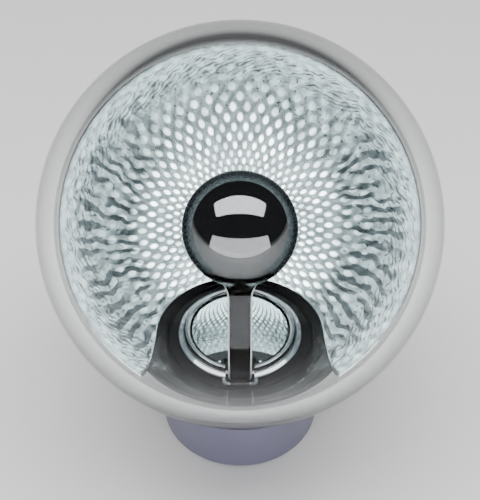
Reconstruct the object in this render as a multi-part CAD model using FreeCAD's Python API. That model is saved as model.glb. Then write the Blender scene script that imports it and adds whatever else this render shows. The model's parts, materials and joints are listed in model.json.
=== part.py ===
"""Globe radiometer: a clear globe half lined with a faceted reflector, round a polished ball on a stem.

The stem is a lever, pinned in the slot of a raised bezel ring. The ball carries a lamp that faces the
reflector, and a detector looks up through the window inside the ring. The head turns on a round
pedestal that holds the battery and the electronics. The frame is +Z up, with the origin at the middle
of the surface that the pedestal stands on, and -Y is the open side of the reflector. Millimetres.
"""
import FreeCAD, Part
import math
import os

V = FreeCAD.Vector
UP = V(0, 0, 1)
BACK = V(0, 1, 0)
RIGHT = V(1, 0, 0)

# Driving dimensions of the globe
GLOBE_R = 75.0
GLOBE_WALL = 6.5
GLOBE_Z = 107.0
NECK_R = 30.5
AIM_DEG = 43.0          # the reflector's axis above the horizon

# Pedestal
FOOT_R = 32.3
TOP_R = 36.0
TOP_Z = 34.0
WALL = 2.5
STAND_OFF = 1.0         # the shell's lower edge above the floor
PLATE_Z = 2.0
PLATE_T = 2.5
PLATE_TOP = PLATE_Z + PLATE_T
SCREW_RING_R = 22.0
BOARD_Z = 20.0
BOARD_T = 1.6
BOARD_R = 23.0
POST_RING_R = 20.0

# Swivel
SPIGOT_R = 12.0
SPIGOT_BORE_R = 8.0
RUNNING_CLEARANCE = 0.05
MOVING_GAP = 0.3

# Head
CUP_RIM_R = 46.0
CUP_WALL = 3.0
SEAT_GAP = 1.2          # between the cup and the globe, where the gasket lies
HEAD_Z = TOP_Z + 0.6
CUP_FLOOR_Z = 37.4
DECK_R = 29.8
DECK_Z = 44.5
BEZEL_FLANGE_R = 25.6
BEZEL_BORE_R = 20.6
BEZEL_TOP_Z = 49.9
SLOT_HALF = 5.9
SLOT_FLOOR_Z = 41.6
SLOT_BACK_Y = -16.3
WINDOW_R = 19.6
WINDOW_RISE = 2.0

# Lever with its ball
PIVOT = V(0, -21.6, 46.0)
PIN_R = 0.9
PIN_HALF = 8.4
BALL_R = 21.2
BALL = V(0, -8.0, 112.7)
STEM_HALF = 4.7
STEM_DEPTH = 2.7        # half the stem's thickness
NECK_FILLET = 14.0      # between the stem and the ball
STEM_EDGE = 1.5         # rounding of the stem's long edges
FOOT_CORNER = 2.4       # rounding of the foot's two corners
TIP = 3.2               # from the pin's axis to the end of the foot

# Reflector
LINING_R = GLOBE_R - GLOBE_WALL - 0.6
LINING_T = 0.8
LINING_FORWARD = 7.0    # its rim's plane, in front of the globe's centre
NOTCH_R = 34.4          # the lining's notch over the deck, round at the back
NOTCH_Y = -3.4
NOTCH_MOUTH = 39.0      # its half width, 80 mm in front of the axis

GLOBE_C = V(0, 0, GLOBE_Z)
INWARD = V(0, math.cos(math.radians(AIM_DEG)), -math.sin(math.radians(AIM_DEG)))


def sphere_z(radius, r):
    """Height of the lower side of a sphere about the globe's centre, at a distance r from the axis."""
    return GLOBE_Z - math.sqrt(radius * radius - r * r)


def disc(radius, z0, z1, x=0.0, y=0.0):
    return Part.makeCylinder(radius, z1 - z0, V(x, y, z0), UP)


def tube(outer, inner, z0, z1):
    return disc(outer, z0, z1).cut(disc(inner, z0 - 1, z1 + 1))


def block(x0, x1, y0, y1, z0, z1):
    return Part.makeBox(x1 - x0, y1 - y0, z1 - z0, V(x0, y0, z0))


def ball(radius, centre):
    return Part.makeSphere(radius, centre)


def turned(points):
    """A solid of revolution about Z from its closed outline of (radius, height) points."""
    corners = [V(r, 0, z) for r, z in points]
    outline = Part.makePolygon(corners + corners[:1])
    return Part.Face(outline).revolve(V(0, 0, 0), UP, 360)


def ring_points(radius, count, start_deg):
    """Evenly spaced places on a circle about Z."""
    for k in range(count):
        a = math.radians(start_deg + 360.0 * k / count)
        yield radius * math.cos(a), radius * math.sin(a)


def along(start, direction, radius, length):
    return Part.makeCylinder(radius, length, start, direction)


def one(shapes):
    """Join overlapping shapes into one solid."""
    return shapes[0].multiFuse(shapes[1:]).removeSplitter() if len(shapes) > 1 else shapes[0]


def group(shapes):
    """Keep like pieces as separate solids in one node."""
    return Part.makeCompound(shapes)


# Pedestal ---------------------------------------------------------------------------------------

BOSS_ANGLE = 30.0
POST_ANGLE = 90.0
SOCKET_Z = 11.5
SOCKET_R = 4.0
BUTTON_Z = 25.5
BUTTON_R = 4.5
BUSH_R = 15.0
BUSH_Z0 = 30.8
BALLAST_TOP = 11.0


def pedestal_radius(z):
    return FOOT_R + (TOP_R - FOOT_R) * (z - STAND_OFF) / (TOP_Z - STAND_OFF)


def pedestal_shell():
    edge = 1.0
    outer = [
        (FOOT_R - edge, STAND_OFF),
        (FOOT_R - 0.3, STAND_OFF + 0.3),
        (pedestal_radius(STAND_OFF + edge), STAND_OFF + edge),
        (pedestal_radius(TOP_Z - edge), TOP_Z - edge),
        (TOP_R - 0.3, TOP_Z - 0.3),
        (TOP_R - edge, TOP_Z),
        (BUSH_R, TOP_Z),
        (BUSH_R, TOP_Z - WALL),
        (TOP_R - WALL - 2.0, TOP_Z - WALL),
        (pedestal_radius(TOP_Z - WALL - 2.0) - WALL, TOP_Z - WALL - 2.0),
        (FOOT_R - WALL, PLATE_TOP + 1.0),
        (FOOT_R - WALL, STAND_OFF),
    ]
    parts = [turned(outer)]
    for x, y in ring_points(SCREW_RING_R, 3, BOSS_ANGLE):
        boss = disc(3.4, PLATE_TOP, 16.0, x, y)
        web = block(0, 10.0, -1.2, 1.2, PLATE_TOP, 15.0)
        web.Placement = FreeCAD.Placement(V(x, y, 0), FreeCAD.Rotation(UP, math.degrees(math.atan2(y, x))))
        parts += [boss, web.common(disc(FOOT_R - 1.0, 0, TOP_Z))]
    shell = one(parts)
    for x, y in ring_points(SCREW_RING_R, 3, BOSS_ANGLE):
        shell = shell.cut(disc(1.5, PLATE_TOP - 1, 14.0, x, y))
    shell = shell.cut(along(V(0, 20, SOCKET_Z), BACK, SOCKET_R, 20))
    return shell.cut(along(V(0, 20, BUTTON_Z), BACK, BUTTON_R + MOVING_GAP, 20))


def base_plate():
    plate = disc(FOOT_R - WALL - 0.05, PLATE_Z, PLATE_TOP)
    for x, y in ring_points(SCREW_RING_R, 3, BOSS_ANGLE):
        plate = plate.cut(disc(1.5, 0, 10, x, y)).cut(disc(2.9, 0, PLATE_Z + 1.4, x, y))
    for x, y in ring_points(POST_RING_R, 3, POST_ANGLE):
        plate = plate.cut(disc(1.0, PLATE_TOP - 1.0, PLATE_TOP + 1, x, y))
    return plate.cut(disc(2.0, 0, 10)).cut(disc(3.8, 0, PLATE_Z + 1.4))


def foot_ring():
    return tube(FOOT_R - WALL - 0.4, 26.2, 0, PLATE_Z)


def base_screws():
    screws = []
    for x, y in ring_points(SCREW_RING_R, 3, BOSS_ANGLE):
        head = disc(2.8, PLATE_Z, PLATE_Z + 1.4, x, y).cut(disc(1.1, 0, PLATE_Z + 0.8, x, y))
        screws.append(one([head, disc(1.5, PLATE_Z + 1.4, 12.0, x, y)]))
    return group(screws)


def ballast_weight():
    return disc(15.5, PLATE_TOP, BALLAST_TOP).cut(disc(2.0, 0, BALLAST_TOP - 1.5))


def ballast_bolt():
    head = disc(3.6, PLATE_Z, PLATE_Z + 1.4).cut(disc(1.5, 0, PLATE_Z + 0.8))
    return one([head, disc(2.0, PLATE_Z + 1.4, 9.0)])


def battery_pack():
    pack = block(-12, 12, -10, 10, BALLAST_TOP, BALLAST_TOP + 6.0)
    return pack.makeFillet(1.5, [edge for edge in pack.Edges if edge.BoundBox.ZLength > 1.0])


def board_standoffs():
    posts = []
    for x, y in ring_points(POST_RING_R, 3, POST_ANGLE):
        post = one([disc(2.0, PLATE_TOP, BOARD_Z, x, y), disc(1.0, PLATE_TOP - 1.0, PLATE_TOP, x, y)])
        posts.append(post.cut(disc(1.0, BOARD_Z - 5, BOARD_Z + 1, x, y)))
    return group(posts)


def control_board():
    board = disc(BOARD_R, BOARD_Z, BOARD_Z + BOARD_T)
    for x, y in ring_points(POST_RING_R, 3, POST_ANGLE):
        board = board.cut(disc(1.1, BOARD_Z - 1, BOARD_Z + 3, x, y))
    return board


def board_screws():
    top = BOARD_Z + BOARD_T
    return group([
        one([disc(2.0, top, top + 1.3, x, y), disc(1.0, BOARD_Z - 4, top, x, y)])
        for x, y in ring_points(POST_RING_R, 3, POST_ANGLE)])


def board_components():
    top = BOARD_Z + BOARD_T
    return group([
        block(-4.5, 4.5, -4.5, 4.5, top, top + 1.3),
        block(-13, -8, -3, 3, top, top + 2.4),
        block(8, 14, -8, -3, top, top + 1.6),
        block(8, 12, 2, 8, top, top + 2.0),
        disc(2.6, top, top + 4.0, -10, -9),
        disc(2.6, top, top + 4.0, -4, -13),
    ])


def power_socket():
    body = along(V(0, 22, SOCKET_Z), BACK, SOCKET_R, pedestal_radius(SOCKET_Z) - 22 + 0.2)
    bore = along(V(0, 25, SOCKET_Z), BACK, 2.8, 20)
    pin = along(V(0, 24, SOCKET_Z), BACK, 0.95, 8)
    return one([body.cut(bore), pin])


def tact_switch():
    top = BOARD_Z + BOARD_T
    body = block(-3, 3, 18.5, 22.8, top, top + 6.5)
    for x, y in ring_points(POST_RING_R, 3, POST_ANGLE):
        body = body.cut(disc(2.2, top - 1, top + 1.6, x, y))
    return one([body, along(V(0, 22.8, BUTTON_Z), BACK, 1.5, 1.2)])


def power_button():
    face = pedestal_radius(BUTTON_Z) + 1.0
    cap = along(V(0, 29.5, BUTTON_Z), BACK, BUTTON_R, face - 29.5)
    flange = along(V(0, 28.0, BUTTON_Z), BACK, BUTTON_R + 1.5, 1.5)
    stem = along(V(0, 25.6, BUTTON_Z), BACK, 1.6, 3.0)
    return one([cap, flange, stem])


def swivel_bush():
    return tube(BUSH_R, SPIGOT_R + RUNNING_CLEARANCE, BUSH_Z0, TOP_Z)


def swivel_washer():
    return tube(20.0, SPIGOT_R + 1.0, TOP_Z, TOP_Z + 0.25)


# Head -------------------------------------------------------------------------------------------

def swivel_spigot():
    body = one([
        tube(SPIGOT_R, SPIGOT_BORE_R, 26.5, HEAD_Z + 0.1),
        tube(18.0, SPIGOT_BORE_R, HEAD_Z, HEAD_Z + 1.4),
    ])
    groove = tube(SPIGOT_R + 1, SPIGOT_R - 1.0, 28.6, 30.2)
    body = body.cut(groove)
    for x, y in ring_points(15.0, 4, 45):
        body = body.cut(disc(1.0, HEAD_Z - 1, HEAD_Z + 3, x, y))
        body = body.cut(disc(1.9, HEAD_Z - 1, HEAD_Z + 0.8, x, y))
    return body


def retaining_ring():
    ring = tube(14.4, SPIGOT_R - 1.0, 28.6, 30.2)
    return ring.cut(block(-1.5, 1.5, 5, 20, 28, 31))


def cradle_cup():
    seat_r = GLOBE_R + SEAT_GAP
    back_r = seat_r + CUP_WALL
    steps = 14
    inner = []
    for k in range(steps + 1):
        r = NECK_R + (CUP_RIM_R - NECK_R) * k / steps
        inner.append((r, sphere_z(seat_r, r)))
    rim = [
        (CUP_RIM_R + 0.7, sphere_z(seat_r, CUP_RIM_R) + 0.55),
        (CUP_RIM_R + 1.5, sphere_z(seat_r, CUP_RIM_R) + 0.5),
        (CUP_RIM_R + 2.0, sphere_z(seat_r, CUP_RIM_R) - 0.2),
    ]
    outer = []
    for k in range(steps + 1):
        r = CUP_RIM_R + 1.9 - (CUP_RIM_R + 1.9 - TOP_R) * k / steps
        t = (r - TOP_R) / (CUP_RIM_R + 1.9 - TOP_R)
        outer.append((r, HEAD_Z + 1.0 + (sphere_z(back_r, CUP_RIM_R) - HEAD_Z - 0.6) * t ** 1.25))
    base = [
        (TOP_R - 0.3, HEAD_Z + 0.3),
        (TOP_R - 1.0, HEAD_Z),
        (18.0, HEAD_Z),
        (18.0, HEAD_Z + 1.4),
        (SPIGOT_BORE_R, HEAD_Z + 1.4),
        (SPIGOT_BORE_R, CUP_FLOOR_Z),
        (NECK_R, CUP_FLOOR_Z),
    ]
    cup = turned(inner + rim + outer + base)
    for x, y in ring_points(15.0, 4, 45):
        cup = cup.cut(disc(1.0, HEAD_Z, HEAD_Z + 5, x, y))
    for x, y in ring_points(26.5, 3, 90):
        cup = cup.cut(disc(1.25, HEAD_Z - 1, CUP_FLOOR_Z + 1, x, y))
        cup = cup.cut(disc(2.4, HEAD_Z - 1, HEAD_Z + 1.5, x, y))
    return cup


def spigot_screws():
    return group([
        one([disc(1.0, HEAD_Z + 0.8, CUP_FLOOR_Z - 0.2, x, y), disc(1.9, HEAD_Z + 0.1, HEAD_Z + 0.8, x, y)])
        for x, y in ring_points(15.0, 4, 45)])


def deck_screws():
    return group([
        one([disc(2.3, HEAD_Z, HEAD_Z + 1.5, x, y), disc(1.25, HEAD_Z + 1.5, 42.0, x, y)])
        for x, y in ring_points(26.5, 3, 90)])


def globe_gasket():
    """A soft ring on the cup's seat, under the globe."""
    outer_r = GLOBE_R + SEAT_GAP
    inner_r = GLOBE_R + MOVING_GAP
    steps = 6
    r0 = 37.0
    r1 = 42.0
    lower = []
    upper = []
    for k in range(steps + 1):
        r = r0 + (r1 - r0) * k / steps
        lower.append((r, sphere_z(outer_r, r)))
        upper.append((r, sphere_z(inner_r, r)))
    ring = turned(lower + upper[::-1])
    return ring.cut(cradle_cup())


def deck_housing():
    edge = 1.2
    profile = [(SPIGOT_BORE_R, CUP_FLOOR_Z), (DECK_R, CUP_FLOOR_Z), (DECK_R, DECK_Z - edge)]
    for k in range(1, 6):
        a = math.radians(90.0 * k / 5)
        profile.append((DECK_R - edge + edge * math.cos(a), DECK_Z - edge + edge * math.sin(a)))
    profile += [(18.6, DECK_Z), (18.6, 39.6), (SPIGOT_BORE_R, 39.6)]
    deck = turned(profile)
    deck = deck.cut(block(-SLOT_HALF, SLOT_HALF, -27.3, SLOT_BACK_Y, SLOT_FLOOR_Z, DECK_Z + 1))
    for x, y in ring_points(26.5, 3, 90):
        deck = deck.cut(disc(1.25, CUP_FLOOR_Z - 1, 42.0, x, y))
    return deck


def bezel_profile():
    """The ring's section: a low outer step, a groove, and an inner lip with a round top."""
    return [
        (BEZEL_BORE_R, DECK_Z),
        (BEZEL_FLANGE_R, DECK_Z),
        (BEZEL_FLANGE_R, 45.9),
        (BEZEL_FLANGE_R - 0.4, 46.5),
        (BEZEL_FLANGE_R - 1.0, 46.9),
        (BEZEL_FLANGE_R - 1.9, 47.3),
        (BEZEL_FLANGE_R - 2.3, 47.2),
        (BEZEL_FLANGE_R - 2.8, 48.4),
        (BEZEL_FLANGE_R - 3.3, BEZEL_TOP_Z - 0.4),
        (BEZEL_FLANGE_R - 4.0, BEZEL_TOP_Z),
        (BEZEL_BORE_R + 0.4, BEZEL_TOP_Z - 0.2),
        (BEZEL_BORE_R, BEZEL_TOP_Z - 0.8),
    ]


def bezel_ring():
    ring = turned(bezel_profile())
    tab = block(-SLOT_HALF - 1.2, SLOT_HALF + 1.2, -28.4, -22, DECK_Z, 46.4)
    corners = [e for e in tab.Edges if e.BoundBox.ZLength > 1.0 and e.BoundBox.YMax < -28]
    tab = tab.makeFillet(1.8, corners)
    bore = disc(BEZEL_BORE_R + 0.5, DECK_Z - 1, 60)
    ring = one([ring, tab.cut(bore)])
    notch = block(-SLOT_HALF, SLOT_HALF, -27.3, -10, DECK_Z - 1, 60)
    front = [e for e in notch.Edges if e.BoundBox.ZLength > 5 and e.BoundBox.YMax < -27]
    notch = notch.makeFillet(1.6, front)
    ring = ring.cut(notch)
    return ring.cut(hinge_pin())


def hinge_pin():
    return along(PIVOT - V(PIN_HALF, 0, 0), RIGHT, PIN_R, 2 * PIN_HALF)


def lever_gap():
    """The room behind the lever's foot, cut out of the window and its seal."""
    return block(-SLOT_HALF - 0.4, SLOT_HALF + 0.4, -30, SLOT_BACK_Y, DECK_Z - 5, 60)


def lens_seal():
    return tube(BEZEL_BORE_R - 0.1, 18.7, DECK_Z, DECK_Z + 1.6).cut(lever_gap())


def window_lens():
    """A domed window: a cap of a sphere on a short cylinder, hollowed underneath."""
    z0 = DECK_Z + 1.6
    edge = 2.4
    dome_r = (WINDOW_R ** 2 + WINDOW_RISE ** 2) / (2 * WINDOW_RISE)
    top = z0 + edge + WINDOW_RISE
    lens = disc(WINDOW_R, z0, top + 1).common(ball(dome_r, V(0, 0, top - dome_r)))
    lens = lens.cut(ball(dome_r, V(0, 0, top - dome_r - 2.0)).common(disc(17.0, z0 - 30, top)))
    return lens.cut(lever_gap())


def detector_board():
    board = disc(16.5, 39.6, 41.0)
    return board.cut(disc(2.0, 39, 42, 10, 0))


def detector_can():
    can = disc(4.6, 41.3, 44.2)
    flange = disc(5.4, 41.0, 41.3)
    return one([can, flange]).cut(disc(2.6, 44.0, 45))


def window_light():
    """Four reference lamps round the detector."""
    return group([block(x - 1.4, x + 1.4, y - 1.4, y + 1.4, 41.0, 42.0) for x, y in ring_points(10.5, 4, 45)])


# Globe ------------------------------------------------------------------------------------------

def glass_globe():
    glass = ball(GLOBE_R, GLOBE_C).cut(ball(GLOBE_R - GLOBE_WALL, GLOBE_C))
    return glass.cut(disc(NECK_R, 20, GLOBE_Z))


def reflector_lining():
    skin = ball(LINING_R, GLOBE_C).cut(ball(LINING_R - LINING_T, GLOBE_C))
    side = 4 * GLOBE_R
    half = Part.makeBox(side, side, side, V(-side / 2, -side / 2, 0))
    half.Placement = FreeCAD.Placement(
        GLOBE_C - INWARD * LINING_FORWARD, FreeCAD.Rotation(UP, INWARD))
    skin = skin.common(half)
    corners = [V(-NOTCH_R, NOTCH_Y, 0), V(-NOTCH_MOUTH, -80, 0), V(NOTCH_MOUTH, -80, 0), V(NOTCH_R, NOTCH_Y, 0)]
    outline = Part.makePolygon(corners + corners[:1])
    mouth = Part.Face(outline).extrude(V(0, 0, GLOBE_Z))
    return skin.cut(disc(NOTCH_R, 0, GLOBE_Z, 0, NOTCH_Y)).cut(mouth)


# Lever ------------------------------------------------------------------------------------------

STEM_DIR = (BALL - PIVOT).normalize()
STEM_LENGTH = (BALL - PIVOT).Length
BORE_R = 8.8
LAMP_SEAT = 13.2        # from the ball's centre to the floor of the lamp's pocket


def neck_section(distance, half_width, half_depth):
    """An oval section of the neck, square to the stem, at a distance from the pivot."""
    placement = FreeCAD.Placement(PIVOT + STEM_DIR * distance, FreeCAD.Rotation(UP, STEM_DIR))
    oval = Part.Ellipse(V(half_width, 0, 0), V(0, half_depth, 0), V(0, 0, 0)).toShape()
    oval.Placement = placement
    return Part.Wire([oval])


def neck_root(half):
    """Where the fillet leaves a stem of that half width, as a distance from the pivot."""
    return STEM_LENGTH - math.sqrt((BALL_R + NECK_FILLET) ** 2 - (half + NECK_FILLET) ** 2)


def neck_meet(half):
    """Where the same fillet runs into the ball."""
    return STEM_LENGTH - (STEM_LENGTH - neck_root(half)) * BALL_R / (BALL_R + NECK_FILLET)


def neck_half(distance, half):
    """Half width of the neck at a distance from the pivot: the stem, the fillet's arc, then the ball."""
    root = neck_root(half)
    if distance <= root:
        return half
    if distance >= neck_meet(half):
        return math.sqrt(BALL_R ** 2 - (STEM_LENGTH - distance) ** 2)
    return half + NECK_FILLET - math.sqrt(NECK_FILLET ** 2 - (distance - root) ** 2)


def stem_bar():
    """The flat stem, from its rounded foot up into the ball, with soft edges."""
    top = STEM_LENGTH - BALL_R / 2
    bar = block(-STEM_HALF, STEM_HALF, -STEM_DEPTH, STEM_DEPTH, -TIP, top)
    foot = [e for e in bar.Edges if e.BoundBox.ZMax < 0 and e.BoundBox.YLength > STEM_DEPTH]
    bar = bar.makeFillet(FOOT_CORNER, foot)
    rim = [e for e in bar.Edges if e.BoundBox.YLength < 0.01 and e.BoundBox.ZMin < top - 1]
    bar = bar.makeFillet(STEM_EDGE, rim)
    bar.Placement = FreeCAD.Placement(PIVOT, FreeCAD.Rotation(UP, STEM_DIR))
    return bar


def ball_lever():
    start = neck_root(STEM_HALF) - 1.0
    meet = neck_meet(STEM_HALF)
    sections = []
    steps = 9
    for k in range(steps + 1):
        distance = start + (meet - start) * k / steps
        sections.append(neck_section(
            distance, neck_half(distance, STEM_HALF), neck_half(distance, STEM_DEPTH)))
    neck = Part.makeLoft(sections, True, False)
    lever = stem_bar().fuse(neck).fuse(ball(BALL_R, BALL))
    lever = lever.cut(along(BALL + INWARD * LAMP_SEAT, INWARD, BORE_R, BALL_R))
    return lever.cut(along(PIVOT - V(10, 0, 0), RIGHT, PIN_R + RUNNING_CLEARANCE, 20))


def heat_spreader():
    return along(BALL + INWARD * LAMP_SEAT, INWARD, BORE_R, 2.0)


def lamp_board():
    return along(BALL + INWARD * (LAMP_SEAT + 2.0), INWARD, BORE_R - 0.2, 1.2)


def lamp_emitter():
    return along(BALL + INWARD * (LAMP_SEAT + 3.2), INWARD, 2.2, 0.9)


def lamp_lens():
    dome = ball(BALL_R - 0.6, BALL).common(along(BALL + INWARD * (LAMP_SEAT + 4.4), INWARD, 6.4, 10))
    return dome


def lens_retainer():
    start = BALL + INWARD * (LAMP_SEAT + 3.2)
    body = along(start, INWARD, BORE_R, 10).common(ball(BALL_R - 0.3, BALL))
    return body.cut(along(start - INWARD, INWARD, 6.4, 12))


NODES = {
    "pedestal_shell": pedestal_shell,
    "base_plate": base_plate,
    "foot_ring": foot_ring,
    "base_screws": base_screws,
    "ballast_weight": ballast_weight,
    "ballast_bolt": ballast_bolt,
    "battery_pack": battery_pack,
    "board_standoffs": board_standoffs,
    "control_board": control_board,
    "board_screws": board_screws,
    "board_components": board_components,
    "power_socket": power_socket,
    "tact_switch": tact_switch,
    "power_button": power_button,
    "swivel_bush": swivel_bush,
    "swivel_washer": swivel_washer,
    "swivel_spigot": swivel_spigot,
    "retaining_ring": retaining_ring,
    "cradle_cup": cradle_cup,
    "spigot_screws": spigot_screws,
    "deck_screws": deck_screws,
    "globe_gasket": globe_gasket,
    "deck_housing": deck_housing,
    "bezel_ring": bezel_ring,
    "hinge_pin": hinge_pin,
    "lens_seal": lens_seal,
    "window_lens": window_lens,
    "detector_board": detector_board,
    "detector_can": detector_can,
    "reference_lamps": window_light,
    "glass_globe": glass_globe,
    "reflector_lining": reflector_lining,
    "ball_lever": ball_lever,
    "heat_spreader": heat_spreader,
    "lamp_board": lamp_board,
    "lamp_emitter": lamp_emitter,
    "lamp_lens": lamp_lens,
    "lens_retainer": lens_retainer,
}


def main():
    os.makedirs("parts", exist_ok=True)
    for name, make in NODES.items():
        shape = make()
        if not shape.isValid() or not shape.Solids:
            raise RuntimeError(name + " is not a valid solid")
        shape.exportStep("parts/" + name + ".step")
        print(name, len(shape.Solids), round(shape.Volume, 1))


main()
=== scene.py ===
"""Looks of the globe radiometer: clear globe, cell reflector, polished lever, black deck, lilac pedestal.

The CAD frame gives every place and size. Each piece of the object is made by one operator, the stage by
another, and the panel in the 3D view's sidebar lists them. Lengths are in metres.
"""
import json
import math

import bmesh
import bpy
from bpy.props import FloatProperty, FloatVectorProperty, IntProperty, PointerProperty
from mathutils import Matrix, Vector


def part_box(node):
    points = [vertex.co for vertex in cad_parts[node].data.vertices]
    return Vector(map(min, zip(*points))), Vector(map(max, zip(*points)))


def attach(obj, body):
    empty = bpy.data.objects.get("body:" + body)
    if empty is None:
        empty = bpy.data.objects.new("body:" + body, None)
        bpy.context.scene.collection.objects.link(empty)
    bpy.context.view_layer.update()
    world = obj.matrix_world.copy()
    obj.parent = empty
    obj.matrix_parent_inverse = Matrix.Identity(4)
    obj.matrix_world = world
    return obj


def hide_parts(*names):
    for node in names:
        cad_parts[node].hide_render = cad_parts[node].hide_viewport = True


bl_info = {
    "name": "Globe radiometer",
    "version": (1, 0, 0),
    "blender": (4, 5, 0),
    "location": "3D View > Sidebar > Radiometer",
    "description": "Builds the visible pieces of a globe radiometer round its CAD frame",
    "category": "Add Mesh",
}

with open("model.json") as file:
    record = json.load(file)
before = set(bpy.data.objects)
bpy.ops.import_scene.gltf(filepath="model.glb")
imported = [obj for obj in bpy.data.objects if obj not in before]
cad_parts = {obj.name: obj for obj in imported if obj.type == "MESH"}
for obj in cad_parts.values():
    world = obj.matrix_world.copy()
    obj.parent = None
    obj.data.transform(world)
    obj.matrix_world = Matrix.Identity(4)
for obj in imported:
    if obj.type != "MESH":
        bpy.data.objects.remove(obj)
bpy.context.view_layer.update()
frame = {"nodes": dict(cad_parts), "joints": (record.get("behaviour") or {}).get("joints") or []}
NODES = frame["nodes"]
MM = 0.001


# Places and sizes, from the frame where it holds them -----------------------------------------------

def low(node):
    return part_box(node)[0]


def high(node):
    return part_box(node)[1]


def half_width(node):
    return (high(node)[0] - low(node)[0]) / 2


def middle_z(node):
    return (low(node)[2] + high(node)[2]) / 2


def joint(name):
    return next(j for j in frame["joints"] if j["name"] == name)


GLOBE_R = half_width("glass_globe")
GLOBE_C = Vector((0, 0, high("glass_globe")[2] - GLOBE_R))
GLOBE_WALL = 6.5 * MM
NECK_R = math.sqrt(GLOBE_R ** 2 - (GLOBE_C.z - low("glass_globe")[2]) ** 2)
AIM = math.radians(43.0)
INWARD = Vector((0, math.cos(AIM), -math.sin(AIM)))
BALL_R = half_width("ball_lever")
PIVOT = Vector(joint("ball_tilt")["pos_m"])
BALL_C = Vector((0, low("ball_lever")[1] + BALL_R, high("ball_lever")[2] - BALL_R))
STEM_AXIS = (BALL_C - PIVOT).normalized()
STEM_LENGTH = (BALL_C - PIVOT).length
STEM_HALF = 4.7 * MM
STEM_DEPTH = 2.7 * MM
NECK_FILLET = 14.0 * MM
TIP = 3.2 * MM
LAMP_SEAT = 13.2 * MM
LAMP_BORE_R = 8.8 * MM
DECK_Z = high("deck_housing")[2]
DECK_R = half_width("deck_housing")
BEZEL_TOP_Z = high("bezel_ring")[2]
SLOT_HALF = 5.9 * MM
SLOT_BACK_Y = -16.3 * MM
SLOT_FRONT_Y = -27.3 * MM
SLOT_CORNER = 1.6 * MM
FOOT_Z = low("pedestal_shell")[2]
TOP_Z = high("pedestal_shell")[2]
TOP_R = half_width("pedestal_shell")


# Settings -----------------------------------------------------------------------------------------

class ReflectorSettings(bpy.types.PropertyGroup):
    """The lattice of cells on the reflector."""
    columns: IntProperty(
        name="Columns", description="Cells in one turn round the reflector's axis", default=52, min=12)
    rows: IntProperty(name="Rows", description="Rows from the pole to the rim", default=27, min=4)
    row_step: FloatProperty(
        name="Row step", description="Distance between rows, in cell widths", default=1.0, min=0.2)
    bulge: FloatProperty(
        name="Bulge", description="Height of a cell's crown, in cell widths", default=0.13, min=0.0)
    seed: IntProperty(name="Seed", description="Seed of the cells' small differences", default=7)
    # The cells' glow is painted light: emission standing in for the lit, reflecting cells.
    painted_light_strength: FloatProperty(name="Glow", description="Strength of the light in the cells", default=7.0, min=0.0)
    painted_light_colour: FloatVectorProperty(
        name="Glow colour", description="Colour of the light in the cells",
        subtype="COLOR", default=(0.78, 0.97, 1.0), min=0.0, max=1.0)


class BodySettings(bpy.types.PropertyGroup):
    """Colours and finishes of the solid pieces."""
    lilac: FloatVectorProperty(
        name="Pedestal", description="Colour of the pedestal's satin paint",
        subtype="COLOR", default=(0.085, 0.085, 0.135), min=0.0, max=1.0)
    black: FloatVectorProperty(
        name="Deck", description="Colour of the glossy deck and cup",
        subtype="COLOR", default=(0.006, 0.006, 0.007), min=0.0, max=1.0)
    steel: FloatVectorProperty(
        name="Lever", description="Colour of the polished lever",
        subtype="COLOR", default=(0.15, 0.15, 0.155), min=0.0, max=1.0)
    lathe_steps: IntProperty(
        name="Lathe steps", description="Divisions of a turned piece round its axis", default=192, min=24)


class StageSettings(bpy.types.PropertyGroup):
    """Floor, light and camera."""
    floor: FloatVectorProperty(
        name="Floor", description="Colour of the floor", subtype="COLOR", default=(0.72, 0.72, 0.72),
        min=0.0, max=1.0)
    lens: FloatProperty(name="Lens", description="Focal length in millimetres", default=87.3, min=10.0)
    distance: FloatProperty(
        name="Distance", description="Camera to the globe's centre", default=0.45, unit="LENGTH")
    elevation: FloatProperty(
        name="Elevation", description="Camera above the horizon", default=math.radians(43.0),
        subtype="ANGLE")
    dip: FloatProperty(
        name="Dip", description="How far below the globe's centre the camera aims",
        default=math.radians(1.1812), subtype="ANGLE")


# Node helpers -------------------------------------------------------------------------------------

class Tree:
    """Small helper that adds nodes to a node tree and joins their sockets."""

    def __init__(self, tree):
        self.tree = tree

    def add(self, kind, inputs=None, **settings):
        node = self.tree.nodes.new(kind)
        for key, value in settings.items():
            setattr(node, key, value)
        for key, value in (inputs or {}).items():
            self.put(node.inputs[key], value)
        return node

    def put(self, socket, value):
        if isinstance(value, bpy.types.NodeSocket):
            self.tree.links.new(value, socket)
        else:
            socket.default_value = value

    def maths(self, operation, *values):
        """A Math node of the tree's own kind, by its operation."""
        node = self.tree.nodes.new("ShaderNodeMath")
        node.operation = operation
        for socket, value in zip(node.inputs, values):
            self.put(socket, value)
        return node.outputs[0]


def new_group(name, kind, inputs, outputs):
    """An empty node group with its sockets, and the Tree that fills it."""
    group = bpy.data.node_groups.new(name, kind)
    for label, socket, default in inputs:
        made = group.interface.new_socket(label, in_out="INPUT", socket_type=socket)
        if default is not None:
            made.default_value = default
    for label, socket in outputs:
        group.interface.new_socket(label, in_out="OUTPUT", socket_type=socket)
    tree = Tree(group)
    return group, tree, tree.add("NodeGroupInput").outputs, tree.add("NodeGroupOutput").inputs


def step_between(tree, value, low_end, high_end, to_low=0.0, to_high=1.0):
    """An easing step from to_low to to_high as the value goes from low_end to high_end."""
    return tree.add("ShaderNodeMapRange", {
        "Value": value, "From Min": low_end, "From Max": high_end, "To Min": to_low, "To Max": to_high},
        interpolation_type="SMOOTHSTEP").outputs[0]


def band(tree, value, start, full, fade, end):
    """1 between full and fade, easing to 0 at start and end."""
    return tree.maths("MULTIPLY", step_between(tree, value, start, full),
                      step_between(tree, value, fade, end, 1.0, 0.0))


# Shared surface effects ---------------------------------------------------------------------------

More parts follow.
